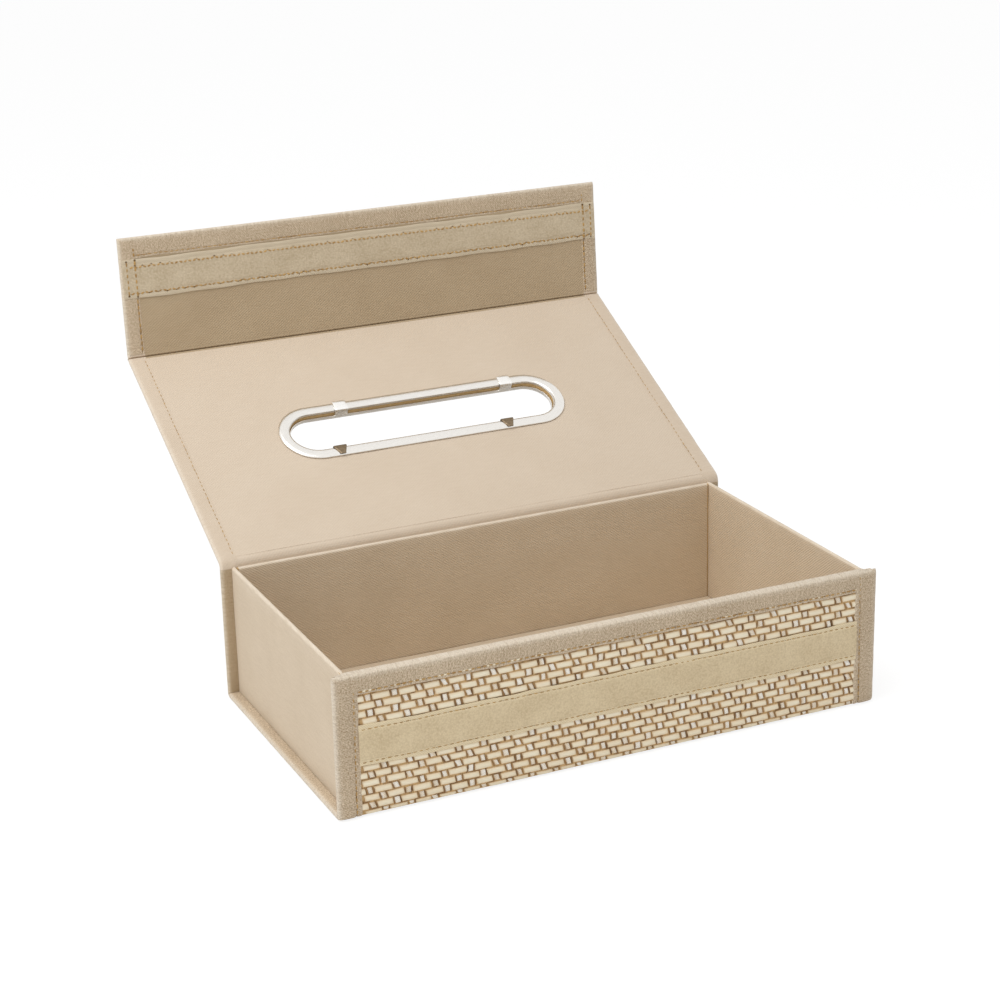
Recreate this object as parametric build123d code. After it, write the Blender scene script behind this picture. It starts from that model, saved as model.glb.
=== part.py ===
from build123d import *
import math
import os

# A tissue box: a cloth-covered tray glued inside a book-style cover. The cover is one strip of
# five stiff panels (front, bottom, back, lid and flap), each a board between a woven reed mat
# outside and a twill lining inside, with tape bound round every free edge. The lid has a metal
# framed slot for the tissues, and the flap closes on the front panel with hook and loop tape.
#
# X runs along the width, Y from the front panel to the back panel, and Z up. The origin is the
# middle of the underside. The lid stands open and the flap is bent inwards, as photographed.

# ---- Driving dimensions, in millimetres and degrees ----

box_width = 270.0
box_depth = 148.0
front_height = 66.8
flap_length = 62.5

board_thickness = 1.6
mat_thickness = 0.8
lining_thickness = 0.4

# Binding tape folded round the panels' edges: its own thickness and the width of its two legs.
binding_thickness = 0.8
side_binding_outside = 11.0
side_binding_inside = 8.5
top_binding_outside = 9.0
top_binding_inside = 9.0
flap_binding_outside = 11.0
flap_binding_inside = 10.5

# The tray: boards wrapped in twill, with the cover standing past both of its ends.
tray_height = 66.8
cover_overhang = 5.0
tray_board_thickness = 1.6
tray_floor_thickness = 1.5
tray_cloth_thickness = 0.4
tray_rim_radius = 0.9

# The two bends of the cover: the cloth left free of board on each side of a hinge line.
hinge_half_gap = 2.4
lid_rest_opening = 153.5
flap_rest_fold = 59.5
lid_rim_gap = 0.3

# Hook and loop tape, and the room left between its two halves when the flap is closed.
hook_width = 20.0
loop_width = 19.0
hook_thickness = 1.0
loop_thickness = 1.0
fastener_gap = 0.3
hook_from_edge = 11.0
loop_from_top_edge = 24.0

# The metal frame of the tissue slot. The clear opening is slot_length by slot_width.
slot_length = 144.0
slot_width = 24.5
collar_wall = 0.6
collar_clearance = 0.2
frame_border = 5.8
flange_thickness = 1.2
ring_thickness = 1.6
frame_bevel = 0.7
tab_width = 7.0
tab_thickness = 0.5
tab_offsets = (-41.0, 51.5)

# Sewing thread: each row of stitches is drawn as one low bar.
thread_width = 0.5
thread_height = 0.2
thread_end_gap = 1.0
side_seam_from_edge = 8.0
top_seam_from_edge = 8.2
flap_seam_from_edge = 9.6
fastener_seam_inset = 2.0

# ---- Sizes and places worked out from them ----

cover_thickness = mat_thickness + board_thickness + lining_thickness
half_cover = cover_thickness / 2
board_inner = mat_thickness + board_thickness

half_width = box_width / 2
mat_half_width = half_width - side_binding_outside
board_half_width = half_width - binding_thickness
lining_half_width = half_width - side_binding_inside

front_y = -box_depth / 2
back_y = box_depth / 2

# Closed, the lid clears the tray's rim and the front panel. Its hinge line is the middle of the
# cover's thickness, at the back panel's top corner.
lid_inner_z = max(tray_height, front_height) + lid_rim_gap
lid_outer_z = lid_inner_z + cover_thickness
hinge_z = lid_inner_z + half_cover
lid_hinge_y = back_y - half_cover
back_top = hinge_z - hinge_half_gap

# Closed, the flap hangs in front of the front panel with the two fastener tapes between them.
flap_stand_off = hook_thickness + fastener_gap + loop_thickness
flap_inner_y = front_y - flap_stand_off
flap_outer_y = flap_inner_y - cover_thickness
flap_hinge_y = flap_inner_y - half_cover
lid_length = lid_hinge_y - flap_hinge_y
lid_start = hinge_half_gap
lid_end = lid_length - hinge_half_gap
hook_end = flap_length - hook_from_edge
hook_start = hook_end - hook_width

tray_half_width = half_width - cover_overhang
tray_wall = tray_board_thickness + 2 * tray_cloth_thickness
tray_front_y = front_y + cover_thickness
tray_back_y = back_y - cover_thickness
tray_inner_half_width = tray_half_width - tray_wall
tray_floor_top = cover_thickness + tray_floor_thickness

slot_y = lid_hinge_y - lid_length / 2
collar_length = slot_length + 2 * collar_wall
collar_width = slot_width + 2 * collar_wall
cut_length = collar_length + 2 * collar_clearance
cut_width = collar_width + 2 * collar_clearance
frame_length = cut_length + 2 * frame_border
frame_width = cut_width + 2 * frame_border


# ---- Blocks in the frame of each panel ----
# Each panel has its own along-the-cover distance s and its depth t, counted inwards from its
# outer face. The lid and the flap are drawn closed, then turned about their hinge lines.


def block(x0, x1, y0, y1, z0, z1):
    size = Box(x1 - x0, y1 - y0, z1 - z0)
    return Pos((x0 + x1) / 2, (y0 + y1) / 2, (z0 + z1) / 2) * size


def front_block(x0, x1, s0, s1, t0, t1):
    return block(x0, x1, front_y + t0, front_y + t1, s0, s1)


def bottom_block(x0, x1, s0, s1, t0, t1):
    return block(x0, x1, s0, s1, t0, t1)


def back_block(x0, x1, s0, s1, t0, t1):
    return block(x0, x1, back_y - t1, back_y - t0, s0, s1)


def open_lid(shape):
    hinge = Axis((0, lid_hinge_y, hinge_z), (-1, 0, 0))
    return shape.rotate(hinge, lid_rest_opening)


def open_flap(shape):
    crease = Axis((0, flap_hinge_y, hinge_z), (-1, 0, 0))
    return open_lid(shape.rotate(crease, 90 - flap_rest_fold))


def lid_block(x0, x1, s0, s1, t0, t1):
    closed = block(x0, x1, lid_hinge_y - s1, lid_hinge_y - s0, lid_outer_z - t1, lid_outer_z - t0)
    return open_lid(closed)


def flap_block(x0, x1, s0, s1, t0, t1):
    closed = block(x0, x1, flap_outer_y + t0, flap_outer_y + t1, hinge_z - s1, hinge_z - s0)
    return open_flap(closed)


def across(panel_block, half, s0, s1, t0, t1):
    return panel_block(-half, half, s0, s1, t0, t1)


# ---- Bindings ----


def side_binding(panel_block, side, outer_span, core_span, inner_span):
    # A tape folded round one end of a panel: outer leg, fold over the board's edge, inner leg.
    outer = sorted((side * mat_half_width, side * half_width))
    core = sorted((side * board_half_width, side * half_width))
    inner = sorted((side * lining_half_width, side * half_width))
    return (
        panel_block(*outer, *outer_span, 0, mat_thickness)
        + panel_block(*core, *core_span, mat_thickness, board_inner)
        + panel_block(*inner, *inner_span, board_inner, cover_thickness)
    )


def edge_binding(panel_block, edge, outside, inside):
    # A tape folded round a panel's long free edge, between its two side bindings.
    return (
        across(panel_block, mat_half_width, edge - outside, edge, 0, mat_thickness)
        + across(panel_block, board_half_width, edge - binding_thickness, edge, mat_thickness, board_inner)
        + across(panel_block, lining_half_width, edge - inside, edge, board_inner, cover_thickness)
    )


# ---- Front panel ----


def front_mat():
    top = front_height - top_binding_outside
    return across(front_block, mat_half_width, mat_thickness, top, 0, mat_thickness)


def front_board():
    top = front_height - binding_thickness
    return across(front_block, board_half_width, board_inner, top, mat_thickness, board_inner)


def front_lining():
    top = front_height - top_binding_inside
    return across(front_block, lining_half_width, cover_thickness, top, board_inner, cover_thickness)


def front_side_binding(side):
    outer_span = (mat_thickness, front_height)
    core_span = (board_inner, front_height)
    inner_span = (cover_thickness, front_height)
    return side_binding(front_block, side, outer_span, core_span, inner_span)


def front_top_binding():
    return edge_binding(front_block, front_height, top_binding_outside, top_binding_inside)


def front_loop_tape():
    # The soft half of the fastener, sewn on the mat between the side bindings.
    top = front_height - loop_from_top_edge
    return across(front_block, mat_half_width, top - loop_width, top, -loop_thickness, 0)


# ---- Bottom panel ----


def bottom_mat():
    return across(bottom_block, mat_half_width, front_y, back_y, 0, mat_thickness)


def bottom_board():
    y0 = front_y + mat_thickness
    y1 = back_y - mat_thickness
    return across(bottom_block, board_half_width, y0, y1, mat_thickness, board_inner)


def bottom_lining():
    y0 = front_y + board_inner
    y1 = back_y - board_inner
    return across(bottom_block, lining_half_width, y0, y1, board_inner, cover_thickness)


def bottom_side_binding(side):
    outer_span = (front_y, back_y)
    core_span = (front_y + mat_thickness, back_y - mat_thickness)
    inner_span = (front_y + board_inner, back_y - board_inner)
    return side_binding(bottom_block, side, outer_span, core_span, inner_span)


# ---- Back panel ----


def back_mat():
    return across(back_block, mat_half_width, mat_thickness, back_top, 0, mat_thickness)


def back_board():
    return across(back_block, board_half_width, board_inner, back_top, mat_thickness, board_inner)


def back_lining():
    return across(back_block, lining_half_width, cover_thickness, back_top, board_inner, cover_thickness)


def back_side_binding(side):
    outer_span = (mat_thickness, back_top)
    core_span = (board_inner, back_top)
    inner_span = (cover_thickness, back_top)
    return side_binding(back_block, side, outer_span, core_span, inner_span)


# ---- Tray ----


def tray_floor_board():
    half = tray_half_width - tray_cloth_thickness
    y0 = tray_front_y + tray_cloth_thickness
    y1 = tray_back_y - tray_cloth_thickness
    return block(-half, half, y0, y1, cover_thickness, tray_floor_top)


def tray_floor_cloth():
    half = tray_inner_half_width
    y0 = tray_front_y + tray_wall
    y1 = tray_back_y - tray_wall
    return block(-half, half, y0, y1, tray_floor_top, tray_floor_top + tray_cloth_thickness)


def end_wall_board(side):
    outside = side * (tray_half_width - tray_cloth_thickness)
    inside = side * (tray_inner_half_width + tray_cloth_thickness)
    x = sorted((outside, inside))
    top = tray_height - tray_cloth_thickness
    y0 = tray_front_y + tray_cloth_thickness
    y1 = tray_back_y - tray_cloth_thickness
    return block(*x, y0, y1, tray_floor_top, top)


def end_wall_cloth(side):
    # The twill runs up the outside of an end wall, over the rounded rim and down to the floor.
    outer = sorted((side * tray_half_width, side * tray_inner_half_width))
    skin = block(*outer, tray_front_y, tray_back_y, cover_thickness, tray_height)
    rim = skin.edges().filter_by(Axis.Y).group_by(Axis.Z)[-1]
    skin = fillet(rim, tray_rim_radius)
    x_floor = sorted((side * (tray_half_width - tray_cloth_thickness), side * tray_inner_half_width))
    y0 = tray_front_y + tray_cloth_thickness
    y1 = tray_back_y - tray_cloth_thickness
    floor_cut = block(*x_floor, y0, y1, cover_thickness, tray_floor_top)
    return skin - end_wall_board(side) - floor_cut


def long_wall_board(y_outer, y_inner):
    half = tray_inner_half_width
    y = sorted((y_outer, y_inner))
    top = tray_height - tray_cloth_thickness
    return block(-half, half, y[0] + tray_cloth_thickness, y[1] - tray_cloth_thickness, tray_floor_top, top)


def long_wall_cloth(y_outer, y_inner):
    half = tray_inner_half_width
    y = sorted((y_outer, y_inner))
    skin = block(-half, half, *y, cover_thickness, tray_height)
    rim = skin.edges().filter_by(Axis.X).group_by(Axis.Z)[-1]
    skin = fillet(rim, tray_rim_radius)
    inward = math.copysign(tray_cloth_thickness, y_inner - y_outer)
    y_floor = sorted((y_outer + inward, y_inner))
    floor_cut = block(-half, half, *y_floor, cover_thickness, tray_floor_top)
    return skin - long_wall_board(y_outer, y_inner) - floor_cut


def front_wall_faces():
    return tray_front_y, tray_front_y + tray_wall


def back_wall_faces():
    return tray_back_y, tray_back_y - tray_wall


# ---- Lid ----


def stadium(length, width, z0, z1):
    outline = Pos(0, slot_y, z0) * SlotOverall(length, width)
    return extrude(outline, z1 - z0)


def slot_cut():
    return open_lid(stadium(cut_length, cut_width, lid_inner_z - 1, lid_outer_z + 1))


def lid_mat():
    return across(lid_block, mat_half_width, lid_start, lid_end, 0, mat_thickness) - slot_cut()


def lid_board():
    plain = across(lid_block, board_half_width, lid_start, lid_end, mat_thickness, board_inner)
    return plain - slot_cut()


def lid_lining():
    plain = across(lid_block, lining_half_width, lid_start, lid_end, board_inner, cover_thickness)
    return plain - slot_cut()


def lid_side_binding(side):
    span = (lid_start, lid_end)
    return side_binding(lid_block, side, span, span, span)


def slot_frame():
    # One pressing: a flange on the mat, a collar through the lid and four tabs bent over inside.
    flange = stadium(frame_length, frame_width, lid_outer_z, lid_outer_z + flange_thickness)
    rim = flange.faces().sort_by(Axis.Z)[-1].edges()
    flange = chamfer(rim, frame_bevel)
    ring_face = lid_inner_z - ring_thickness
    collar = stadium(collar_length, collar_width, ring_face, lid_outer_z + flange_thickness)
    body = flange + collar
    for offset in tab_offsets:
        for side in (-1, 1):
            x = -side * offset
            y = sorted((slot_y + side * slot_width / 2, slot_y + side * frame_width / 2))
            body += block(x - tab_width / 2, x + tab_width / 2, *y, ring_face - tab_thickness, ring_face)
    opening = stadium(slot_length, slot_width, ring_face - 1, lid_outer_z + flange_thickness + 1)
    return open_lid(body - opening)


def slot_backing_ring():
    # The loose ring that the tabs hold down on the lining.
    ring_face = lid_inner_z - ring_thickness
    ring = stadium(frame_length, frame_width, ring_face, lid_inner_z)
    rim = ring.faces().sort_by(Axis.Z)[0].edges()
    ring = chamfer(rim, frame_bevel)
    return open_lid(ring - stadium(cut_length, cut_width, ring_face - 1, lid_inner_z + 1))


# ---- Flap ----


def flap_mat():
    edge = flap_length - flap_binding_outside
    return across(flap_block, mat_half_width, hinge_half_gap, edge, 0, mat_thickness)


def flap_board():
    edge = flap_length - binding_thickness
    return across(flap_block, board_half_width, hinge_half_gap, edge, mat_thickness, board_inner)


def flap_lining():
    edge = flap_length - flap_binding_inside
    return across(flap_block, lining_half_width, hinge_half_gap, edge, board_inner, cover_thickness)


def flap_side_binding(side):
    span = (hinge_half_gap, flap_length)
    return side_binding(flap_block, side, span, span, span)


def flap_edge_binding():
    return edge_binding(flap_block, flap_length, flap_binding_outside, flap_binding_inside)


def flap_hook_tape():
    # The hooked half of the fastener, sewn over the lining and both side bindings.
    half = half_width - binding_thickness
    face = cover_thickness + hook_thickness
    return across(flap_block, half, hook_start, hook_end, cover_thickness, face)


# ---- The two bends ----


def hinge_strip(line_y, line_z, angle_a, angle_b):
    # The mat and lining between two boards, bent round a hinge line. The angles are the
    # directions from the line to the two panels, in degrees from +Y towards +Z.
    line = Vector(line_y, line_z)
    a = Vector(math.cos(math.radians(angle_a)), math.sin(math.radians(angle_a)))
    b = Vector(math.cos(math.radians(angle_b)), math.sin(math.radians(angle_b)))
    crown = (a + b).normalized() * -1
    side_a = (crown - a * crown.dot(a)).normalized()
    side_b = (crown - b * crown.dot(b)).normalized()
    mitre = half_cover / math.sin(math.radians(a.get_angle(b) / 2))
    end_a = line + a * hinge_half_gap
    end_b = line + b * hinge_half_gap
    rounded = ThreePointArc(line + side_a * half_cover, line + crown * half_cover, line + side_b * half_cover)
    rest = Polyline(
        rounded @ 1,
        end_b + side_b * half_cover,
        end_b - side_b * half_cover,
        line - crown * mitre,
        end_a - side_a * half_cover,
        end_a + side_a * half_cover,
        rounded @ 0,
    )
    section = Plane.YZ * make_face(Wire([*rounded.edges(), *rest.edges()]))
    return extrude(section, half_width, both=True)


def lid_hinge_strip():
    return hinge_strip(lid_hinge_y, hinge_z, -90, 180 - lid_rest_opening)


def flap_hinge_strip():
    lid_direction = 180 - lid_rest_opening
    crease_y = lid_hinge_y + lid_length * math.cos(math.radians(lid_direction))
    crease_z = hinge_z + lid_length * math.sin(math.radians(lid_direction))
    flap_direction = lid_direction + flap_rest_fold
    return hinge_strip(crease_y, crease_z, lid_direction - 180, flap_direction)


# ---- Stitching ----


def row_across(panel_block, half, s, t):
    return across(panel_block, half, s - thread_width / 2, s + thread_width / 2, t - thread_height, t)


def row_across_inside(panel_block, half, s, t):
    return across(panel_block, half, s - thread_width / 2, s + thread_width / 2, t, t + thread_height)


def rows_along(panel_block, s0, s1, t0, t1):
    rows = []
    for side in (-1, 1):
        x = side * (half_width - side_seam_from_edge)
        start = s0 + thread_end_gap
        end = s1 - thread_end_gap
        rows.append(panel_block(x - thread_width / 2, x + thread_width / 2, start, end, t0, t1))
    return rows


def front_stitching():
    half = mat_half_width - thread_end_gap
    top = front_height - loop_from_top_edge
    rows = rows_along(front_block, mat_thickness, front_height, -thread_height, 0)
    rows.append(row_across(front_block, half, front_height - top_seam_from_edge, 0))
    rows.append(row_across(front_block, half, top - fastener_seam_inset, -loop_thickness))
    rows.append(row_across(front_block, half, top - loop_width + fastener_seam_inset, -loop_thickness))
    return Compound(children=rows)


def back_stitching():
    return Compound(children=rows_along(back_block, mat_thickness, back_top, -thread_height, 0))


def lid_stitching():
    inner = rows_along(lid_block, lid_start, lid_end, cover_thickness, cover_thickness + thread_height)
    outer = rows_along(lid_block, lid_start, lid_end, -thread_height, 0)
    return Compound(children=inner + outer)


def flap_stitching():
    half = lining_half_width - thread_end_gap
    outer_half = mat_half_width - thread_end_gap
    hook_face = cover_thickness + hook_thickness
    inner_top = cover_thickness + thread_height
    rows = rows_along(flap_block, hinge_half_gap, flap_length, -thread_height, 0)
    rows += rows_along(flap_block, hinge_half_gap, hook_start, cover_thickness, inner_top)
    rows.append(row_across(flap_block, outer_half, flap_length - flap_seam_from_edge, 0))
    rows.append(row_across_inside(flap_block, half, flap_length - flap_seam_from_edge, cover_thickness))
    rows.append(row_across_inside(flap_block, half, hook_start + fastener_seam_inset, hook_face))
    rows.append(row_across_inside(flap_block, half, hook_end - fastener_seam_inset, hook_face))
    return Compound(children=rows)


# ---- Every piece, by the name of its node ----

pieces = {
    "front_mat": front_mat(),
    "front_board": front_board(),
    "front_lining": front_lining(),
    "front_left_binding": front_side_binding(-1),
    "front_right_binding": front_side_binding(1),
    "front_top_binding": front_top_binding(),
    "front_loop_tape": front_loop_tape(),
    "front_stitching": front_stitching(),
    "bottom_mat": bottom_mat(),
    "bottom_board": bottom_board(),
    "bottom_lining": bottom_lining(),
    "bottom_left_binding": bottom_side_binding(-1),
    "bottom_right_binding": bottom_side_binding(1),
    "back_mat": back_mat(),
    "back_board": back_board(),
    "back_lining": back_lining(),
    "back_left_binding": back_side_binding(-1),
    "back_right_binding": back_side_binding(1),
    "back_stitching": back_stitching(),
    "tray_floor_board": tray_floor_board(),
    "tray_floor_cloth": tray_floor_cloth(),
    "tray_left_board": end_wall_board(-1),
    "tray_left_cloth": end_wall_cloth(-1),
    "tray_right_board": end_wall_board(1),
    "tray_right_cloth": end_wall_cloth(1),
    "tray_front_board": long_wall_board(*front_wall_faces()),
    "tray_front_cloth": long_wall_cloth(*front_wall_faces()),
    "tray_back_board": long_wall_board(*back_wall_faces()),
    "tray_back_cloth": long_wall_cloth(*back_wall_faces()),
    "lid_hinge_strip": lid_hinge_strip(),
    "lid_mat": lid_mat(),
    "lid_board": lid_board(),
    "lid_lining": lid_lining(),
    "lid_left_binding": lid_side_binding(-1),
    "lid_right_binding": lid_side_binding(1),
    "lid_stitching": lid_stitching(),
    "slot_frame": slot_frame(),
    "slot_backing_ring": slot_backing_ring(),
    "flap_hinge_strip": flap_hinge_strip(),
    "flap_mat": flap_mat(),
    "flap_board": flap_board(),
    "flap_lining": flap_lining(),
    "flap_left_binding": flap_side_binding(-1),
    "flap_right_binding": flap_side_binding(1),
    "flap_edge_binding": flap_edge_binding(),
    "flap_hook_tape": flap_hook_tape(),
    "flap_stitching": flap_stitching(),
}

os.makedirs("parts", exist_ok=True)
for name, shape in pieces.items():
    export_step(shape, f"parts/{name}.step")
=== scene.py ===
import math

import bmesh
import bpy
import numpy as np
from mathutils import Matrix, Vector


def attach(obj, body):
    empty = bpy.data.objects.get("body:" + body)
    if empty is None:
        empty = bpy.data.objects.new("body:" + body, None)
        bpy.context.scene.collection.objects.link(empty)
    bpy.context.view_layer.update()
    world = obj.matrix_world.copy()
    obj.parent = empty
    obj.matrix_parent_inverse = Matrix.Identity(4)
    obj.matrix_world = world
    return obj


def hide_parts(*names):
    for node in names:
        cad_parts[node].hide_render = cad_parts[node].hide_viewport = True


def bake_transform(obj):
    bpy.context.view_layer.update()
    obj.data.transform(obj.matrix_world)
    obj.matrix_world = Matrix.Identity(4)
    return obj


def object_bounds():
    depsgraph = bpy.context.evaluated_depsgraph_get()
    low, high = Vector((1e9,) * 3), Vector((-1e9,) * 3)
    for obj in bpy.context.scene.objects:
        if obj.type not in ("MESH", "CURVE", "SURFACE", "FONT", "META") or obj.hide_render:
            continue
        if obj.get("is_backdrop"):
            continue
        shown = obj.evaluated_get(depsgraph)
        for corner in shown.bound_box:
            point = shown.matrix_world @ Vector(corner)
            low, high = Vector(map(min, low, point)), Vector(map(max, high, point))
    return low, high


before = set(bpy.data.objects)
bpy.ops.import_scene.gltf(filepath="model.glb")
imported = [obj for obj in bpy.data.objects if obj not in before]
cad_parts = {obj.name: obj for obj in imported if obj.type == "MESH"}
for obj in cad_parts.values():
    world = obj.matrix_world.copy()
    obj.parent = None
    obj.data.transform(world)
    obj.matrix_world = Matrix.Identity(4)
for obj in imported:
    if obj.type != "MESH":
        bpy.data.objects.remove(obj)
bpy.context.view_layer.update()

# ---- Boards ----
# Greyboard 1.6 mm thick, pressed from paper pulp and glued between the cloths of every panel and
# tray wall. Only its cut edge shows, in the lid's slot, so the CAD boards stay as they are.


def linear(code):
    """The linear colour of an sRGB hex value."""
    parts = [int(code[i : i + 2], 16) / 255 for i in (1, 3, 5)]
    return [*(p / 12.92 if p < 0.04045 else ((p + 0.055) / 1.055) ** 2.4 for p in parts), 1.0]


def feed(node, inputs):
    """Sets a node's inputs: a socket is linked, and any other value is written on the input."""
    for name, value in inputs.items():
        if isinstance(value, bpy.types.NodeSocket):
            node.id_data.links.new(value, node.inputs[name])
        else:
            node.inputs[name].default_value = value


def add_node(material, kind, settings, inputs):
    """Adds one node with its settings and inputs."""
    node = material.node_tree.nodes.new("ShaderNode" + kind)
    for name, value in settings.items():
        setattr(node, name, value)
    feed(node, inputs)
    return node


def new_material(name):
    material = bpy.data.materials.new(name)
    material.use_nodes = True
    return material


colour_mix = {"data_type": "RGBA"}


def finish(material, share, first, second, height, strength, relief, smooth, rough, more=None):
    """Ends a material's pattern: two colours mixed by a share, bumps of this relief in mm by the
    pattern's height, and a roughness between the two by the same height."""
    colour = add_node(material, "Mix", colour_mix, {0: share, 6: first, 7: second}).outputs[2]
    raised = {"Height": height, "Strength": strength, "Distance": relief / 1000}
    bump = add_node(material, "Bump", {}, raised).outputs[0]
    dull = add_node(material, "MapRange", {}, {"Value": height, "To Min": smooth, "To Max": rough}).outputs[0]
    shader = material.node_tree.nodes["Principled BSDF"]
    feed(shader, {"Base Color": colour, "Roughness": dull, "Normal": bump, **(more or {})})


# Pressed pulp: dull and brown, with fibres about a millimetre long that fray at the cut.
greyboard = new_material("greyboard")
place = add_node(greyboard, "TexCoord", {}, {}).outputs["Object"]
fibres = add_node(greyboard, "TexNoise", {}, {"Vector": place, "Scale": 900.0, "Detail": 4.0}).outputs["Fac"]
finish(greyboard, fibres, linear("#a8844f"), linear("#dcbc88"), fibres, 1.0, 0.2, 0.82, 0.98)
for node_name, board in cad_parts.items():
    if node_name.endswith("_board"):
        board.data.materials.clear()
        board.data.materials.append(greyboard)

# ---- The cover's panels and bends ----
# One strip of cloth and board, 2.8 mm thick, folded into front, bottom, back, lid and flap. A place
# on it is x across, s along the panel and t inwards from its outer face, all in millimetres.

cover = 2.8
half_width = 135.0
half_depth = 74.0
front_height = 66.8
back_height = 66.1
lid_length = 150.3
flap_length = 62.5
hinge_gap = 2.4
lid_start = hinge_gap
lid_end = lid_length - hinge_gap
corner_radius = 3.0
# Two panels meet half way round a rounded corner, this far along each.
corner_line = corner_radius * (1 - math.pi / 4)
lid_angle = math.radians(26.5)
flap_angle = math.radians(86.0)
lid_axis = np.array([72.6, 68.5])
lid_way = np.array([math.cos(lid_angle), math.sin(lid_angle)])
flap_axis = lid_axis + lid_length * lid_way
flap_way = np.array([math.cos(flap_angle), math.sin(flap_angle)])


def inward(way):
    """The direction from a panel's outer face to its lining."""
    return np.array([-way[1], way[0]])


# Each panel: where s and t are 0, the way that s runs, and the way that t runs, in (y, z).
panels = {
    "front": (np.array([-half_depth, 0.0]), np.array([0.0, 1.0]), np.array([1.0, 0.0])),
    "bottom": (np.array([0.0, 0.0]), np.array([1.0, 0.0]), np.array([0.0, 1.0])),
    "back": (np.array([half_depth, 0.0]), np.array([0.0, 1.0]), np.array([-1.0, 0.0])),
    "lid": (lid_axis - inward(lid_way) * cover / 2, lid_way, inward(lid_way)),
    "flap": (flap_axis - inward(flap_way) * cover / 2, flap_way, inward(flap_way)),
}

# Each bend: its hinge line, the ways to its two panels, and 1 where the lining is on the outside.
bends = {
    "lid_bend": (lid_axis, np.array([0.0, -1.0]), lid_way, 1),
    "flap_bend": (flap_axis, -lid_way, flap_way, -1),
}


def round_foot(s, t):
    """Turns a place near a folded corner, where s is the distance from the sharp corner."""
    near = s < corner_radius
    turn = np.where(near, (corner_radius - s) / corner_radius, 0)
    from_centre = corner_radius - t
    along = corner_radius - from_centre * np.sin(turn)
    inwards = corner_radius - from_centre * np.cos(turn)
    return np.where(near, along, s), np.where(near, inwards, t)


def on_bend(bend, s, t):
    """(y, z) of a place on a bend, whose middle layer is an arc between the two boards."""
    axis, way_a, way_b, lining_side = bends[bend]
    opening = math.acos(float(way_a @ way_b))
    radius = hinge_gap * math.tan(opening / 2)
    centre = axis + (way_a + way_b) / np.linalg.norm(way_a + way_b) * hinge_gap / math.cos(opening / 2)
    spoke = (axis + way_a * hinge_gap - centre) / radius
    sense = np.sign(spoke[0] * way_b[1] - spoke[1] * way_b[0])
    turn = sense * (s + hinge_gap) / (2 * hinge_gap) * (math.pi - opening)
    reach = radius + lining_side * (t - cover / 2)
    y = centre[0] + reach * (spoke[0] * np.cos(turn) - spoke[1] * np.sin(turn))
    z = centre[1] + reach * (spoke[0] * np.sin(turn) + spoke[1] * np.cos(turn))
    return y, z


def on_panel(panel, x, s, t):
    """The places of arrays of x, s and t, in metres in the row frame."""
    x, s, t = np.broadcast_arrays(*(np.asarray(v, float) for v in (x, s, t)))
    if panel in bends:
        y, z = on_bend(panel, s, t)
    else:
        if panel in ("front", "back"):
            s, t = round_foot(s, t)
        if panel == "bottom":
            from_end, t = round_foot(half_depth - np.abs(s), t)
            s = np.sign(s) * (half_depth - from_end)
        start, way, deeper = panels[panel]
        y = start[0] + way[0] * s + deeper[0] * t
        z = start[1] + way[1] * s + deeper[1] * t
    return np.stack([x, y, z], -1) / 1000


# ---- Reed mat ----
# The cover's outside: flat split reeds side by side, held by pairs of brown cotton threads and a
# flat undyed yarn that pass over every second reed, so each reed shows as a row of bricks.

row_pitch = 3.6
brick_pitch = 11.7
mat_half = 125.0
ground_face = 0.55
ground_back = 0.8
reed_base = 0.62
# The wave texture's bands are this far apart at scale 1.
band_unit = 0.314
clamped_sum = {"operation": "MULTIPLY_ADD", "use_clamp": True}


def laid_material(name):
    """A new material, and the place on the flat cloth or along the thread in mm."""
    material = new_material(name)
    return material, add_node(material, "Attribute", {"attribute_name": "cloth_mm"}, {}).outputs["Vector"]


def fibre_share(material, streaks, spread):
    """How pale it is along the fibres, and by this spread from one reed or thread to the next."""
    tone = add_node(material, "Attribute", {"attribute_name": "worn"}, {}).outputs["Fac"]
    fine = add_node(material, "Math", {"operation": "MULTIPLY"}, {0: streaks, 1: 1.0 - spread}).outputs[0]
    return add_node(material, "Math", clamped_sum, {0: tone, 1: spread, 2: fine}).outputs[0]


# Split reed: pale straw with fine lengthwise fibres about 0.3 mm apart and a slight natural gloss.
reed, at = laid_material("split_reed")
stretched = add_node(reed, "Mapping", {}, {"Vector": at, "Scale": (0.25, 3.2, 1.0)}).outputs[0]
streaks = add_node(reed, "TexNoise", {}, {"Vector": stretched, "Scale": 1.0, "Detail": 3.0}).outputs["Fac"]
share = fibre_share(reed, streaks, 0.6)
finish(reed, share, linear("#d6ad74"), linear("#fffbe6"), streaks, 0.5, 0.2, 0.42, 0.68,
       {"Specular IOR Level": 0.4})


def spun_cotton(name, dark, light, spread, ply, sway, kinks, twist, relief, smooth, rough):
    """Cotton yarn or thread: dull, with its plies as slanting bands this many mm apart."""
    material, at = laid_material(name)
    bands = {"Vector": at, "Scale": band_unit / ply, "Distortion": sway, "Detail Scale": kinks}
    plies = add_node(material, "TexWave", {"bands_direction": "DIAGONAL"}, bands).outputs["Fac"]
    share = fibre_share(material, plies, spread)
    finish(material, share, linear(dark), linear(light), plies, twist, relief, smooth, rough)
    return material


# Undyed cotton yarn, flattened: pale and slightly grey, with its plies about 0.5 mm apart.
undyed_yarn = spun_cotton(
    "undyed_cotton_yarn", "#dcc6a4", "#fffcf4", 0.7, ply=0.5, sway=1.5, kinks=2.0, twist=0.4,
    relief=0.2, smooth=0.75, rough=0.95,
)
# Dyed cotton thread: mid to dark brown, dull, with a tight twist.
brown_thread = spun_cotton(
    "brown_cotton_thread", "#6c4e32", "#bf9866", 0.7, ply=0.35, sway=1.0, kinks=1.0, twist=0.4,
    relief=0.1, smooth=0.7, rough=0.9,
)

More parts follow.
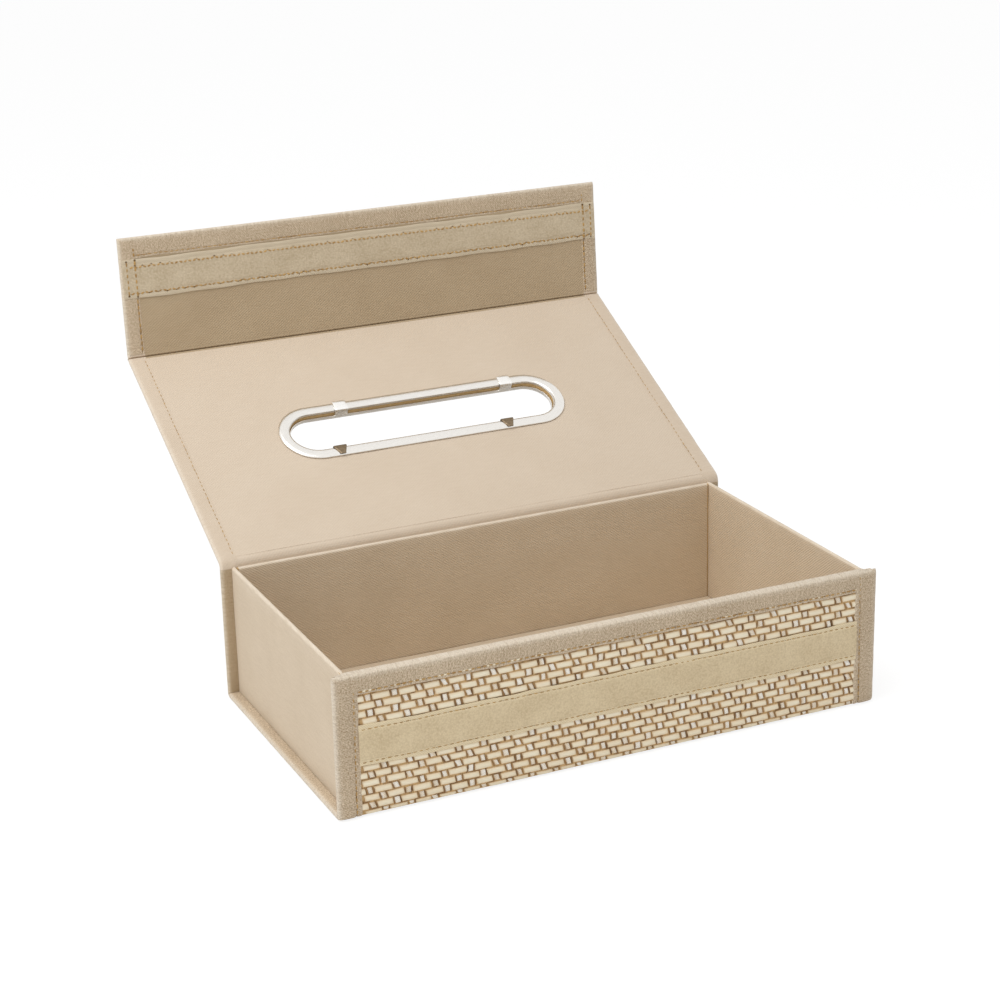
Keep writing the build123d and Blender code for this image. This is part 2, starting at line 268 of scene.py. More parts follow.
# The threads and shaded reed sides at the bottom of the gaps, about 0.9 mm apart: uneven browns.
mat_ground, at = laid_material("mat_ground_threads")
bands = {"Vector": at, "Scale": band_unit / 0.9, "Distortion": 3.0, "Detail": 2.0}
weft = add_node(mat_ground, "TexWave", {"bands_direction": "X"}, bands).outputs["Fac"]
clumps = add_node(mat_ground, "TexNoise", {}, {"Vector": at, "Scale": 0.22, "Detail": 1.0}).outputs["Fac"]
spans = {"Value": clumps, "From Min": 0.38, "From Max": 0.62}
patches = add_node(mat_ground, "MapRange", {}, spans).outputs[0]
share = add_node(mat_ground, "Math", clamped_sum, {0: weft, 1: 0.3, 2: patches}).outputs[0]
finish(mat_ground, share, linear("#86643e"), linear("#d2ae7c"), weft, 0.6, 0.3, 0.8, 0.95)


def grid_index(rows, columns, join_rows=False, join_columns=False):
    """The numbers of a grid's points, with the first row or column again where the ends join."""
    index = np.arange(rows * columns).reshape(rows, columns)
    if join_rows:
        index = np.concatenate([index, index[:1]], 0)
    if join_columns:
        index = np.concatenate([index, index[:, :1]], 1)
    return index


def quads_of(index):
    """The faces between the points of a grid."""
    corners = [index[:-1, :-1], index[1:, :-1], index[1:, 1:], index[:-1, 1:]]
    return np.stack(corners, -1).reshape(-1, 4)


def make_piece(name, points, faces, cloth, worn, materials, finishes=None):
    """A mesh from arrays. cloth is each point's place on the flat cloth, or along the thread, in mm.
    worn is 0 to 1: how rubbed a cloth is, how pale a reed or thread, or 1 on a woven edge."""
    mesh = bpy.data.meshes.new(name)
    mesh.from_pydata(points.reshape(-1, 3).tolist(), [], faces.tolist())
    laid = mesh.attributes.new("cloth_mm", "FLOAT_VECTOR", "POINT")
    laid.data.foreach_set("vector", np.broadcast_to(cloth, points.shape).astype(np.float32).ravel())
    rubbed = mesh.attributes.new("worn", "FLOAT", "POINT")
    rubbed.data.foreach_set("value", np.broadcast_to(worn, points.shape[:-1]).astype(np.float32).ravel())
    for material in materials:
        mesh.materials.append(material)
    if finishes is not None:
        mesh.polygons.foreach_set("material_index", finishes)
    shaped = bmesh.new()
    shaped.from_mesh(mesh)
    bmesh.ops.recalc_face_normals(shaped, faces=shaped.faces)
    shaped.to_mesh(mesh)
    shaped.free()
    mesh.shade_smooth()
    mesh.set_sharp_from_angle(angle=math.radians(50))
    piece = bpy.data.objects.new(name, mesh)
    bpy.context.scene.collection.objects.link(piece)
    return piece


def cloth_shell(name, face, back, across, along, worn, material, ring=False):
    """A closed sheet between two grids of points: the face that shows, and the glued back. A ring's
    columns join up round the slot."""
    rows, columns = face.shape[:2]
    index = grid_index(rows, columns, join_columns=ring)
    quads = quads_of(index)
    rims = [index[0], index[-1]]
    if not ring:
        rims = [np.concatenate([index[0], index[1:, -1], index[-1, -2::-1], index[-2::-1, 0]])]
    under = rows * columns
    sides = [np.stack([rim[:-1], rim[1:], rim[1:] + under, rim[:-1] + under], -1) for rim in rims]
    faces = np.concatenate([quads, quads[:, ::-1] + under, *sides])
    laid = np.stack(np.broadcast_arrays(across, along, 0.0), -1)
    return make_piece(name, np.stack([face, back]), faces, laid, worn, [material])


def join_grids(name, grids, materials):
    """One piece from many grids of points, or stacks of them. Each comes with its places across and
    along the thread, its tone, and the number of its material."""
    points, laid, tones, faces, finishes = [], [], [], [], []
    used = 0
    for places, across, along, tone, finish in grids:
        rows, columns = places.shape[-3:-1]
        one = quads_of(grid_index(rows, columns))
        starts = np.arange(used, used + places.size // 3, rows * columns)
        points.append(places.reshape(-1, 3))
        laid.append(np.stack(np.broadcast_arrays(across, along, 0.0), -1).reshape(-1, 3))
        tones.append(np.broadcast_to(tone, places.shape[:-1]).ravel())
        faces.append((one + starts[:, None, None]).reshape(-1, 4))
        finishes.append(np.full(len(starts) * len(one), finish))
        used += places.size // 3
    joined = [np.concatenate(part) for part in (points, faces, laid, tones)]
    return make_piece(name, *joined, materials, np.concatenate(finishes))


def steps(start, end, size):
    """Evenly spaced values from start to end, about this far apart."""
    return np.linspace(start, end, max(2, round(abs(end - start) / size) + 1))


def seed_of(name):
    """The same seed for a name at each run."""
    return sum(ord(letter) * (place + 7) ** 2 for place, letter in enumerate(name))


def weave_mat(name, panel, row_places, hole=None, sink=0.0):
    """The raised reeds, yarns and threads of a panel's mat, as one piece."""
    draw = np.random.default_rng(seed_of(name))
    bricks, crossings = [], []
    for number, row_s in enumerate(row_places):
        start = -mat_half + (number % 2) * brick_pitch / 2 - brick_pitch + draw.uniform(-0.8, 0.8)
        middles = np.arange(start, mat_half + brick_pitch, brick_pitch)
        middles = middles + draw.uniform(-0.6, 0.6, len(middles))
        widths = draw.uniform(3.5, 4.3, len(middles))
        open_half = hole(row_s) if hole else 0.0
        for left, right, gap_l, gap_r in zip(middles, middles[1:], widths, widths[1:]):
            low, high = max(left + gap_l / 2, -mat_half), min(right - gap_r / 2, mat_half)
            spans = [(low, high)]
            if open_half:
                spans = [(low, min(high, -open_half)), (max(low, open_half), high)]
            for low, high in spans:
                if high - low > 0.5:
                    bricks.append(((low + high) / 2, row_s, (high - low) / 2))
        clear = open_half + 1.5 if open_half else 0.0
        for middle in middles:
            if clear < abs(middle) + 0.001 < mat_half - 1.8:
                crossings.append((middle, row_s))
    bricks, crossings = np.array(bricks), np.array(crossings)

    # One brick of reed: a low pillow whose ends dive under the crossing threads.
    u, v = [-1, -0.95, -0.8, -0.35, 0.35, 0.8, 0.95, 1], [-1, -0.9, -0.6, 0.0, 0.6, 0.9, 1]
    u, v = np.meshgrid(u, v, indexing="ij")
    crown = np.sqrt(1 - np.abs(u) ** 8) * np.sqrt(1 - v**2)
    middle, row_s, half_long = (bricks[:, k, None, None] for k in range(3))
    each = middle.shape
    turn = draw.normal(0, 0.016, each)
    half_wide = draw.uniform(1.36, 1.54, each)
    rise = draw.uniform(0.72, 0.88, each)
    tilt = draw.normal(0, 0.08, each)
    x = middle + half_long * u - half_wide * v * turn - 0.3 * v
    s = row_s + draw.normal(0, 0.1, each) + half_wide * v + half_long * u * turn
    t = reed_base + sink - rise * crown - tilt * v * crown
    shift = draw.uniform(0, 300, each)
    tone = draw.uniform(0.8, 1.0, each) * crown
    grids = [(on_panel(panel, x, s, t), x + shift, s + shift, tone, 0)]

    # One crossing's yarn: a small square cushion, a little higher than the reeds.
    u, v = np.meshgrid([-1, -0.75, 0, 0.75, 1], [-1, -0.75, 0, 0.75, 1], indexing="ij")
    crown = ((1 - u**4) * (1 - v**4)) ** 0.5
    middle, row_s = (crossings[:, k, None, None] for k in range(2))
    each = middle.shape
    slant = draw.normal(-0.36, 0.22, each)
    x = middle + draw.uniform(0.95, 1.35, each) * u + slant * v
    s = row_s + draw.uniform(1.3, 1.6, each) * v
    t = reed_base + sink - draw.uniform(0.5, 0.8, each) * crown
    tone = np.clip(draw.uniform(0.2, 1, each) + draw.normal(0, 0.3, each) * u, 0, 1)
    grids.append((on_panel(panel, x, s, t), x, s, tone, 1))

    # Two threads beside it, which climb from the gap below the reed, over it, to the gap above.
    v, corner = np.meshgrid([-1, -0.6, 0, 0.6, 1], np.arange(6), indexing="ij")
    angle = corner * math.pi * 2 / 5
    for side in (-1, 1):
        thick = draw.uniform(0.18, 0.36, each)
        lean = slant + draw.normal(0, 0.2, each)
        x = middle + side * 1.55 + lean * v + thick * np.cos(angle)
        s = row_s + 1.75 * v
        t = reed_base + sink + 0.02 - 0.46 * (1 - v**2) + thick * np.sin(angle)
        grids.append((on_panel(panel, x, s, t), x + corner, s, draw.uniform(0, 1, each), 2))
    return join_grids(name, grids, [reed, undyed_yarn, brown_thread])


def mat_rows(start, end):
    """Evenly spaced middles of the reeds between two edges, near the mat's own pitch."""
    count = max(1, round((end - start) / row_pitch))
    pitch = (end - start) / count
    return start + pitch * (np.arange(count) + 0.5)


def fix(piece, body, slot_name, *nodes):
    """Says what the piece rides on or bends between, its finish and the nodes it stands for. A bend
    turns over the middle 64 % of the way from board to board."""
    if body in bends:
        axis, way_a, way_b, _ = bends[body]
        first, last = axis + way_a * hinge_gap, axis + way_b * hinge_gap
        inset = (last - first) * 0.18
        first, last = (first + inset) / 1000, (last - inset) / 1000
        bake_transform(piece)
    else:
        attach(piece, body)
    if nodes:
        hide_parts(*nodes)


body_of = {"front": "box", "bottom": "box", "back": "box", "lid": "lid", "flap": "flap"}


def lay_ground(name, panel, s_start, s_end):
    """The mat's ground, a thin sheet under the reeds."""
    s, x = np.meshgrid(steps(s_start, s_end, 1.2), steps(-mat_half, mat_half, 6.0), indexing="ij")
    face, back = on_panel(panel, x, s, ground_face), on_panel(panel, x, s, ground_back)
    return cloth_shell(name, face, back, x, s, 0.0, mat_ground)


def lay_mat(panel, s_start, s_end, row_places, sink=0.0):
    """A whole panel's mat: its ground, which is the sheet, and the reeds on it."""
    ground = lay_ground(panel + "_mat_cloth", panel, s_start, s_end)
    reeds = weave_mat(panel + "_mat_cloth_reeds", panel, row_places, sink=sink)
    fix(ground, body_of[panel], "reed_mat", panel + "_mat")
    fix(reeds, body_of[panel], "reed_mat")


lay_mat("front", corner_line, 58.6, 1.0 + row_pitch * np.arange(17))
lay_mat("bottom", corner_line - half_depth, half_depth - corner_line, mat_rows(-71.6, 71.6), sink=0.16)
lay_mat("back", corner_line, back_height, mat_rows(-0.8, 65.9))
lay_mat("flap", hinge_gap, 52.4, mat_rows(hinge_gap, 52.8))

# The lid's mat is cut out for the slot, under the metal frame's flange.
slot_s = lid_length / 2
slot_straight = 59.75
mat_cut = 13.4
reed_cut = 15.6


def lid_hole(row_s):
    """Half the length of the cut in the lid's reeds at one row, or 0 beside it."""
    aside = abs(row_s - slot_s)
    if aside > reed_cut + 0.8:
        return 0.0
    return slot_straight + math.sqrt(max(reed_cut**2 - aside**2, 1.0))


def holed_grid(half, radius, rings):
    """x and s of rings of points, from the slot's rounded outline out to the lid's rectangle."""
    corners = [(-half, lid_start), (half, lid_start), (half, lid_end), (-half, lid_end)]
    edge = []
    for (x0, s0), (x1, s1) in zip(corners, corners[1:] + corners[:1]):
        count = max(2, round(max(abs(x1 - x0), abs(s1 - s0)) / 3.0))
        edge += [(x0 + (x1 - x0) * share, s0 + (s1 - s0) * share) for share in np.arange(count) / count]
    edge = np.array(edge)
    spoke = edge - (0.0, slot_s)
    across, along = np.abs(spoke).T
    # Each spoke meets the outline on its straight side or on its round end.
    to_side = radius / np.maximum(along, 1e-9)
    far = across**2 + along**2
    inside_root = np.maximum((across * slot_straight) ** 2 - far * (slot_straight**2 - radius**2), 0)
    to_end = (across * slot_straight + np.sqrt(inside_root)) / far
    outline = (0.0, slot_s) + spoke * np.where(across * to_side < slot_straight, to_side, to_end)[:, None]
    share = np.linspace(0, 1, rings)[:, None, None]
    points = outline * (1 - share) + edge * share
    return points[..., 0], points[..., 1]


x, s = holed_grid(mat_half, mat_cut, 18)
face, back = on_panel("lid", x, s, ground_face), on_panel("lid", x, s, ground_back)
lid_ground = cloth_shell("lid_mat_cloth", face, back, x, s, 0.0, mat_ground, ring=True)
lid_reeds = weave_mat("lid_mat_cloth_reeds", "lid", mat_rows(lid_start, lid_end), hole=lid_hole)
fix(lid_ground, "lid", "reed_mat", "lid_mat")
fix(lid_reeds, "lid", "reed_mat")

# The same mat runs on over the two bends, one reed wide, and bends with the cover. Its ground, and
# the lining of a bend, are glued down for 3 mm more on each side.
for bend in bends:
    ground = lay_ground(bend + "_mat_cloth", bend, -hinge_gap, hinge_gap)
    reeds = weave_mat(bend + "_mat_reeds", bend, [0.0])
    fix(ground, bend, "reed_mat")
    fix(reeds, bend, "reed_mat")

# ---- Linings ----
# The cover's inside: unbleached cotton twill, glued flat on each board and let down a little into
# the two bends, where there is no board.

lining_half = 126.5
lining_cut = 13.3
lining_back = 2.4
plain_sum = {"operation": "MULTIPLY_ADD"}


def twill(name, light, dark, worn, pitch, relief, rib_tone, melange):
    """Cotton twill: slanting ribs at this pitch in mm, cut across by its yarns, dull and soft. The
    last two are how strongly the ribs and the yarn's specks show in its colour."""
    material, at = laid_material(name)
    slant = (0.0, 0.0, math.radians(52))
    slanted = add_node(material, "Mapping", {}, {"Vector": at, "Rotation": slant}).outputs[0]
    bands = {"Vector": slanted, "Scale": band_unit / pitch, "Distortion": 0.8, "Detail Scale": 0.6}
    ribs = add_node(material, "TexWave", {"bands_direction": "X"}, bands).outputs["Fac"]
    bands = {"Vector": at, "Scale": band_unit / (0.8 * pitch), "Distortion": 0.8, "Detail Scale": 0.7}
    yarns = add_node(material, "TexWave", {"bands_direction": "Y"}, bands).outputs["Fac"]
    drawn = add_node(material, "Mapping", {}, {"Vector": at, "Scale": (0.12, 0.9, 1.0)}).outputs[0]
    slubs = add_node(material, "TexNoise", {}, {"Vector": drawn, "Scale": 1.0, "Detail": 2.0}).outputs["Fac"]
    clouds = add_node(material, "TexNoise", {}, {"Vector": at, "Scale": 0.03, "Detail": 2.0}).outputs["Fac"]
    specks = add_node(material, "TexNoise", {}, {"Vector": at, "Scale": 1.35, "Detail": 1.0}).outputs["Fac"]
    weave = add_node(material, "Math", plain_sum, {0: yarns, 1: 0.35, 2: ribs}).outputs[0]
    marks = add_node(material, "Math", {"operation": "MULTIPLY"}, {0: clouds, 1: 0.4}).outputs[0]
    for mark, strength in ((slubs, 0.35), (specks, melange), (weave, rib_tone)):
        marks = add_node(material, "Math", plain_sum, {0: mark, 1: strength, 2: marks}).outputs[0]
    # The middle of the sum of all the marks becomes the middle of the two colours.
    middle = 0.375 + 0.5 * melange + 0.67 * rib_tone
    spans = {"Value": marks, "From Min": middle - 0.5, "From Max": middle + 0.5}
    share = add_node(material, "MapRange", {}, spans).outputs[0]
    shades = {0: share, 6: linear(dark), 7: linear(light)}
    colour = add_node(material, "Mix", colour_mix, shades).outputs[2]
    rubbed = add_node(material, "Attribute", {"attribute_name": "worn"}, {}).outputs["Fac"]
    product = {"operation": "MULTIPLY", "use_clamp": True}
    patchy = add_node(material, "Math", product, {0: rubbed, 1: slubs}).outputs[0]
    finish(material, patchy, colour, linear(worn), weave, 0.8, relief, 0.78, 0.96,
           {"Specular IOR Level": 0.25, "Sheen Weight": 0.15, "Sheen Roughness": 0.5})
    return material


# Fine 2/1 twill of about 0.5 mm pitch, drawn at 1.1 mm so that its ribs show in the render.
lining_twill = twill("unbleached_cotton_twill", "#e0d0bc", "#ccb9a2", "#e8dccb", 1.1, 0.08, 0.12, 0.2)
# The flap's lining comes from a browner piece of the same twill.
flap_twill = twill("brown_cotton_twill", "#c8b496", "#a68f70", "#cdbb9f", 1.1, 0.12, 0.3, 0.6)


def ripple(a, b, length, seed):
    """Smooth unevenness of about -1 to 1 at places (a, b), with waves about this long in mm."""
    draw = np.random.default_rng(seed)
    total = 0
    for _ in range(7):
        way, phase = draw.uniform(0, 2 * math.pi, 2)
        pace = 2 * math.pi / (length * draw.uniform(0.7, 1.6))
        total = total + np.sin(pace * (a * math.cos(way) + b * math.sin(way)) + phase)
    return total / 3.5


def lay_lining(panel, s_start, s_end, size, cloth, bulge=0.0):
    """A flat lining on a panel, with its edges under the bindings."""
    name = panel + "_lining_cloth"
    s, x = np.meshgrid(steps(s_start, s_end, size), steps(-lining_half, lining_half, size), indexing="ij")
    face = on_panel(panel, x, s, cover + bulge * ripple(x, s, 45.0, seed_of(name)))
    lining = cloth_shell(name, face, on_panel(panel, x, s, lining_back), x, s, 0.0, cloth)
    fix(lining, body_of[panel], "lining_twill", panel + "_lining")


lay_lining("front", cover, 60.0, 6.0, lining_twill)
lay_lining("bottom", cover - half_depth, half_depth - cover, 6.0, lining_twill)
lay_lining("back", cover, back_height, 6.0, lining_twill)
lay_lining("flap", hinge_gap, 53.0, 1.5, flap_twill, 0.06)

x, s = holed_grid(lining_half, lining_cut, 36)
face = on_panel("lid", x, s, cover + 0.08 * ripple(x, s, 50.0, 5))
back = on_panel("lid", x, s, lining_back)
lid_lining = cloth_shell("lid_lining_cloth", face, back, x, s, 0.0, lining_twill, ring=True)
fix(lid_lining, "lid", "lining_twill", "lid_lining")

# In the bends the lining is pressed down between the boards: a shallow hollow at the lid's hinge,
# and a sharp crease at the flap's. Each is this deep, this wide and this far from the middle.
hollows = {
    "lid": (0.15, 0.7, 1.9, lining_twill),
    "flap": (1.7, 0.42, 0.0, flap_twill),
}
for panel, (deep, half_wide, off_middle, cloth) in hollows.items():
    bend = panel + "_bend"
    s, x = steps(-hinge_gap, hinge_gap, 0.16), steps(-lining_half, lining_half, 3.0)
    s, x = np.meshgrid(s, x, indexing="ij")
    dip = np.exp(-(((np.abs(s) - off_middle) / half_wide) ** 2))
    t = cover - deep * dip * (1 + 0.12 * ripple(x, s, 40.0, 9))
    face, back = on_panel(bend, x, s, t), on_panel(bend, x, s, t - 0.4)
    strip = cloth_shell(bend + "_lining_cloth", face, back, x, s, 0.0, cloth)
    fix(strip, bend, "lining_twill", panel + "_hinge_strip")

# ---- Edge bindings ----
# Twill tape, 0.4 mm thick, folded lengthwise over each free edge and sewn through both of its
# legs, so that it stands a little proud of the mat and puckers along the stitches.

tape_thick = 0.4
tape_half = 133.0
tray_end = 130.0
stitch_pitch = 2.9
side_seam = 8.4
front_seam = 8.2
flap_seam_outside = 9.8
flap_seam_inside = 9.3
sides = ((-1, "left"), (1, "right"))

# The same cotton as the lining, a shade greyer, with ribs about 0.9 mm apart and a coarser yarn
# that shows as specks.
binding_twill = twill("cotton_binding_tape", "#dfcdb3", "#a48d70", "#ece2d2", 0.9, 0.14, 0.2, 2.0)
# The lid's tapes are as pale as its lining.
pale_tape = twill("pale_binding_tape", "#e0d0bc", "#c8b49c", "#e8dccb", 0.9, 0.08, 0.12, 0.5)
# The back's tapes are browner.
brown_tape = twill("brown_binding_tape", "#c6b295", "#9c8667", "#e0d2bd", 0.9, 0.12, 0.2, 1.2)
tape_cloths = {"lid": pale_tape, "lid_bend": pale_tape, "flap_bend": pale_tape, "back": brown_tape}


def folded_tape(outside, inside, seam_outside, seam_inside, proud, proud_inside, thick, roll):
    """Points over a folded tape, from its outer leg's edge to its inner leg's: the distance in from
    the panel's edge, the depth, how far it may wander, and how much a stitch pulls it down."""
    points = [
        (outside, 0.35, 1.0, 0.0),
        (outside - 0.05, 0.0, 1.0, 0.0),
        (outside - 0.4, -proud, 1.0, 0.0),
        ((outside + seam_outside) / 2, -proud - 0.04, 0.6, 0.1),
        (seam_outside + 0.45, -proud, 0.3, 0.5),
        (seam_outside, -proud + 0.22, 0.2, 1.0),
        (seam_outside - 0.45, -proud, 0.2, 0.5),
        (seam_outside - 1.2, -proud - 0.12, 0.1, 0.15),
        (seam_outside * 0.6, -proud - 0.16, 0.0, 0.0),
        (seam_outside * 0.35, -proud - 0.12, 0.0, 0.0),
    ]
    for angle in np.radians(np.linspace(-90, 90, 11)):
        outwards = proud if angle < 0 else proud_inside
        round_off = roll * (1 - max(math.cos(angle), 0.0) ** 0.75)
        points.append((round_off, thick / 2 + (thick / 2 + outwards) * math.sin(angle), 0.0, 0.0))
    under, loose = thick + proud_inside, proud_inside / 0.25
    points += [
        (seam_inside * 0.35, under + 0.06 * loose, 0.0, 0.0),
        (seam_inside * 0.6, under + 0.08 * loose, 0.0, 0.0),
        (seam_inside - 1.2, under + 0.05 * loose, 0.1, 0.15 * loose),
        (seam_inside - 0.45, under, 0.2, 0.5 * loose),
        (seam_inside, under - 0.2 * loose, 0.2, loose),
        (seam_inside + 0.4, under, 0.4, 0.5 * loose),
        (inside - 0.3, under - 0.02, 1.0, 0.0),
        (inside, under - 0.1 * loose, 1.0, 0.0),
        (inside + 0.02, thick - 0.15, 1.0, 0.0),
    ]
    return np.array(points)


def ways_along(points):
    """The direction of a line at each of its points."""
    way = np.gradient(points, axis=0)
    return way / np.linalg.norm(way, axis=1)[:, None]


def lengths_along(points):
    """The length of a line up to each of its points."""
    return np.concatenate([[0], np.cumsum(np.linalg.norm(np.diff(points, axis=0), axis=1))])


def behind(profile):
    """The same points moved in by the tape's own thickness."""
    way = ways_along(profile[:, :2])
    moved = profile.copy()
    moved[:, :2] += tape_thick * np.stack([way[:, 1], -way[:, 0]], -1)
    return moved


def bind_edge(name, panel, profile, start, end, edge, sideways, seed, closed_ends=(), still=(), crease=0.0,
              thin_beyond=None):
    """A folded tape along an edge, and its unfolded width. A sideways tape runs along s at x = edge,
    and another along x at s = edge. Closed ends are pinched shut, and still ends don't wander. A
    tape over two walls goes on over the panel alone past thin_beyond."""
    along = steps(start, end, 0.16 if crease else 0.72)
    taper = np.ones(len(along))
    for place in still:
        taper = taper * np.clip(np.abs(along - place) / 6.0, 0, 1)
    pinch = np.ones(len(along))
    faded = np.zeros(len(along))
    for place in closed_ends:
        near = np.clip(1 - np.abs(along - place) / 1.7, 0, 1)
        pinch = pinch * np.sqrt(np.clip(1 - near**2.6, 0.004, 1))
        faded = np.exp(-((along - place) ** 2) / 1.6)
    middle = (profile[:, 1].min() + profile[:, 1].max()) / 2
    wander = 0.32 * ripple(along, 0 * along, 22.0, seed) * taper
    swell = 0.09 * ripple(along, 0 * along, 9.0, seed + 1) * taper
    pull = 0.16 * (0.5 - 0.5 * np.cos(2 * math.pi * along / stitch_pitch))
    grids = []
    for layer, inner_face in ((profile, cover + 0.1), (behind(profile), cover - 0.3)):
        off, depth, loose, sewn = (layer[:, k, None] for k in range(4))
        outward = np.sign(depth - middle)
        off = off + loose * wander
        depth = depth + outward * (swell * (loose < 0.5))
        depth = depth - outward * pull * sewn
        depth = depth - crease * (outward > 0) * np.exp(-((along / 0.42) ** 2))
        if thin_beyond:
            depth = np.where(np.abs(along) > thin_beyond, np.minimum(depth, inner_face), depth)
        depth = middle + (depth - middle) * pinch
        if sideways:
            grids.append(on_panel(panel, np.sign(edge) * (abs(edge) - off), along, depth))
        else:
            grids.append(on_panel(panel, along, edge - off, depth))
    run = lengths_along(profile[:, :2])
    rolled = np.exp(-((profile[:, 0] / 1.2) ** 2))
    rolled = rolled + 0.6 * np.exp(-(((profile[:, 0] - profile[0, 0]) / 0.5) ** 2))
    wear = np.maximum(rolled[:, None], faded)
    cloth = tape_cloths.get(panel, binding_twill)
    return cloth_shell(name, *grids, run[:, None] + seed, along, wear, cloth), run[-1]


side_tape = folded_tape(11.0, 8.9, side_seam, side_seam - 0.6, 0.36, 0.25, cover, 1.4)
lid_tape = folded_tape(11.0, 8.9, side_seam, side_seam - 0.6, 0.36, 0.08, cover, 1.4)
floor_tape = folded_tape(11.0, 8.9, side_seam, side_seam - 0.6, 0.0, 0.1, cover, 1.4)
# Each panel's side tapes: the section, where they start and end, the closed and the still ends.
runs = {
    "front": (side_tape, corner_line, front_height, (front_height,), (corner_line,)),
    "bottom": (floor_tape, corner_line - half_depth, half_depth - corner_line, (), (-73.3, 73.3)),
    "back": (side_tape, corner_line, back_height, (), (corner_line, back_height)),
    "lid": (lid_tape, lid_start, lid_end, (), (lid_start, lid_end)),
    "flap": (side_tape, hinge_gap, flap_length, (flap_length,), (hinge_gap,)),
}
for panel, (profile, start, end, closed, still) in runs.items():
    for side, side_name in sides:
        node_name = f"{panel}_{side_name}_binding"
        tape, wide = bind_edge(
            node_name + "_tape", panel, profile, start, end, side * half_width, True,
            seed_of(node_name) % 1000, closed, still,
        )
        fix(tape, body_of[panel], "binding_tape", node_name)
for bend in bends:
    for side, side_name in sides:
        tape, wide = bind_edge(
            f"{bend}_{side_name}_tape", bend, lid_tape, -hinge_gap, hinge_gap, side * half_width, True,
            3, (), (-hinge_gap, hinge_gap), 1.5 if bend == "flap_bend" else 0.0,
        )
        fix(tape, bend, "binding_tape")

# The tapes over the front's top edge and the flap's free edge run under the side tapes. The
# front's is folded over the tray's front wall too, so that the two make one rounded rim.
top_tape = folded_tape(9.7, 9.0, front_seam, front_seam, 0.3, 0.3, 5.2, 1.0)
edge_tape = folded_tape(11.0, 10.5, flap_seam_outside, flap_seam_inside, 0.3, 0.18, cover, 1.4)
for node_name, panel, profile, edge, seed, thin_beyond in (
    ("front_top_binding", "front", top_tape, front_height, 31, tray_end),
    ("flap_edge_binding", "flap", edge_tape, flap_length, 47, None),
):
    tape, wide = bind_edge(
        node_name + "_tape", panel, profile, -tape_half, tape_half, edge, False, seed,
        thin_beyond=thin_beyond,
    )
    fix(tape, body_of[panel], "binding_tape", node_name)

# ---- Tray ----
# Four board walls and a floor wrapped in the lining's twill, which is glued over the rounded rim
# and meets in a fine seam at each inside corner. It is glued to the front, bottom and back panels.

tray_top = front_height
tray_front = 71.2
wall = 2.4
rim_radius = 1.2

# The lining's twill, a shade yellower, with ribs that show more, drawn at 1.05 mm for the render.
tray_twill = twill("tray_cotton_twill", "#e2d1b9", "#bfaa8d", "#efe3d2", 1.05, 0.12, 0.4, 0.5)


def wall_profile(top):
    """Round a wall's section, from its outer foot over the rim to its inner foot: how far in from
    the outer face, and the height."""
    spring = top - rim_radius
    points = [(0.75, 2.95), (0.35, 2.97), (0.1, 3.15)]
    points += [(0.0, z) for z in steps(3.6, spring, 6.0)]
    for angle in np.radians(np.linspace(168, 12, 9)):
        points.append((wall / 2 + wall / 2 * math.cos(angle), spring + rim_radius * math.sin(angle)))
    points += [(wall, z) for z in steps(spring, 4.75, 3.0)]
    return np.array(points)


def stacked(x, y, z):
    """Places in metres from x, y and z in millimetres."""
    return np.stack(np.broadcast_arrays(x, y, z), -1) / 1000


end_along = np.concatenate([[-71.2, -71.0, -70.7, -70.2], steps(-69, 69, 2.5), [70.2, 70.7, 71.0, 71.2]])
long_along = steps(-126.9, 126.9, 2.5)
# The front wall ends lower, inside the front's top binding.
for side_name, side, along, top, seed in (
    ("left", -1, end_along, tray_top, 10),
    ("right", 1, end_along, tray_top, 12),
    ("front", -1, long_along, tray_top - 0.9, 20),
    ("back", 1, long_along, tray_top, 22),
):
    profile = wall_profile(top)
    inner = np.clip(profile[:, :1] / wall, 0, 1)
    grids = []
    for thick in (0.0, 0.4):
        z = profile[:, 1:]
        swell = 0.09 * ripple(along, z, 38.0, seed) + 0.03 * ripple(along, z, 9.0, seed + 1)
        off = thick + 0.05 - swell * np.clip((tray_top - z) / 10, 0, 1)
        in_by = profile[:, :1] + (1 - 2 * inner) * off
        if along is end_along:
            # The outer corners are rounded, and the rim dips under the front's binding.
            from_end = np.clip(1 - (along[-1] - np.abs(along)) / 1.1, 0, 1)
            in_by = in_by + (1 - inner) * (1 - np.sqrt(1 - 0.98 * from_end**2))
            z = z - 1.1 * np.clip((-68.9 - along) / 0.5, 0, 1) * np.clip((z - 60) / 5, 0, 1)
        height = z - thick * np.sin(math.pi * inner)
        if along is end_along:
            grids.append(stacked(side * (tray_end - in_by), along, height))
        else:
            grids.append(stacked(along, side * (tray_front - in_by), height))
    run = lengths_along(profile)
    rubbed = np.exp(-(((tray_top - profile[:, 1:]) / 0.9) ** 2))
    wrap = cloth_shell(f"tray_{side_name}_wrap", *grids, along, run[:, None] + 31 * seed, rubbed, tray_twill)
    fix(wrap, "box", "tray_cloth", f"tray_{side_name}_cloth")

y, x = np.meshgrid(steps(-68.6, 68.6, 3.0), steps(-127.3, 127.3, 3.0), indexing="ij")
face, back = stacked(x, y, 4.7 + 0.08 * ripple(x, y, 45.0, 77)), stacked(x, y, 4.32)
tray_floor = cloth_shell("tray_floor_sheet", face, back, x, y, 0.0, tray_twill)
fix(tray_floor, "box", "tray_cloth", "tray_floor_cloth")

# ---- Fastener tapes ----
# Hook and loop tape: the soft looped half is sewn across the front's mat, and the hooked half
# across the flap's lining. Each has a plain woven edge on both sides of its pile.

loop_low = 23.8
loop_wide = 19.0
loop_seam = 1.9
hook_low = 31.5
hook_wide = 20.0
hook_seam = 2.4
hook_base = 3.05


